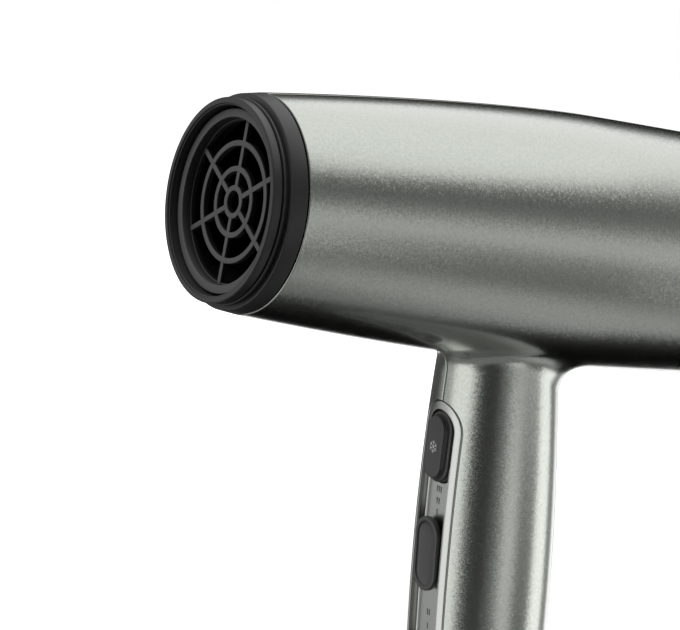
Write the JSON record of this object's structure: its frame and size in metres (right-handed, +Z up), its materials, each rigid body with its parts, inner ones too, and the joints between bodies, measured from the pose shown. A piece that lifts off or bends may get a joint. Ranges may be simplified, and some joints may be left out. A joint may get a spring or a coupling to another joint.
{
  "type": "hair dryer",
  "caption": "Hand-held hair dryer with a tapered barrel, ring-and-spoke outlet grille, removable rear intake cover, and a leaning handle with heat, speed and cool-shot controls.",
  "frame": {"origin": "centre of the outlet lip, where its straight outer wall begins", "axes": "-X points out of the air outlet along the barrel, +Z up, the housing's seam lies in Y = 0 and the handle leans down and to the rear"},
  "size_m": [0.2063, 0.0802, 0.2269],
  "materials": {
    "barrel_paint": "satin metallic titanium-grey lacquer on moulded plastic",
    "black_plastic": "satin black moulded plastic",
    "black_rubber": "matt black rubber",
    "control_plastic": "fine matt dark grey moulded plastic",
    "mark_print": "pad-printed grey marks",
    "panel_satin": "satin light grey moulded plastic",
    "fan_plastic": "moulded glass-filled nylon",
    "mica_sheet": "pressed mica sheet",
    "resistance_wire": "drawn resistance wire",
    "plated_steel": "zinc-plated steel",
    "ceramic_white": "glazed ceramic",
    "ferrite": "pressed ferrite and carbon",
    "sintered_bronze": "oil-filled sintered bronze",
    "copper_wire": "enamelled and bare copper",
    "circuit_board": "green solder mask",
    "capacitor_film": "yellow film capacitor",
    "wire_sleeve": "silicone wire sleeve"
  },
  "bodies": {
    "housing": {"housing_left": "barrel_paint", "housing_right": "barrel_paint", "outlet_ring": "black_plastic", "air_guide": "black_plastic", "outlet_grille": "black_plastic", "heater_tube": "mica_sheet", "mica_board_upright": "mica_sheet", "mica_board_level": "mica_sheet", "heater_coil_front": "resistance_wire", "heater_coil_rear": "resistance_wire", "heater_terminals": "plated_steel", "thermostat": "plated_steel", "thermal_fuse": "ceramic_white", "fan_duct": "fan_plastic", "motor_can": "plated_steel", "motor_end_cap": "black_plastic", "motor_magnets": "ferrite", "front_bearing": "sintered_bronze", "rear_bearing": "sintered_bronze", "motor_brushes": "ferrite", "motor_screws": "plated_steel", "rectifier_board": "circuit_board", "suppressor_capacitor": "capacitor_film", "switch_panel": "panel_satin", "panel_marks": "mark_print", "switch_board": "circuit_board", "board_screws": "plated_steel", "heat_switch": "black_plastic", "speed_switch": "black_plastic", "cool_shot_switch": "black_plastic", "cool_shot_spring": "plated_steel", "handle_end_cap": "black_plastic", "hang_loop": "black_plastic", "cable_inlet": "black_rubber", "cord_clamp": "black_plastic", "clamp_screws": "plated_steel", "handle_screws": "plated_steel", "screw_plugs": "barrel_paint", "lead_wires": "wire_sleeve"},
    "rotor": {"motor_shaft": "plated_steel", "rotor_core": "plated_steel", "rotor_windings": "copper_wire", "commutator": "copper_wire", "fan_impeller": "fan_plastic"},
    "intake_cover": {"rear_cover": "black_plastic", "intake_grille": "black_plastic", "filter_mesh": "plated_steel"},
    "heat_slider": {"heat_slider": "control_plastic", "heat_contact": "copper_wire"},
    "speed_slider": {"speed_slider": "control_plastic", "speed_contact": "copper_wire"},
    "cool_shot_button": {"cool_shot_button": "control_plastic"}
  },
  "joints": [
    {"name": "fan_spin", "type": "hinge", "parent": "housing", "child": "rotor", "pos_m": [0.15, 0, 0], "axis": [1, 0, 0], "continuous": true},
    {"name": "intake_cover_pull", "type": "slide", "parent": "housing", "child": "intake_cover", "axis": [1, 0, 0], "range_m": [0, 0.03]},
    {"name": "heat_slide", "type": "slide", "parent": "housing", "child": "heat_slider", "axis": [-0.1478, 0, 0.989], "range_m": [0, 0.0078]},
    {"name": "speed_slide", "type": "slide", "parent": "housing", "child": "speed_slider", "axis": [-0.1478, 0, 0.989], "range_m": [0, 0.009]},
    {"name": "cool_shot_press", "type": "slide", "parent": "housing", "child": "cool_shot_button", "axis": [0.9962, 0, 0.0872], "range_m": [0, 0.0016], "stiffness_N_per_m": 400, "deforming": ["cool_shot_spring"]}
  ]
}
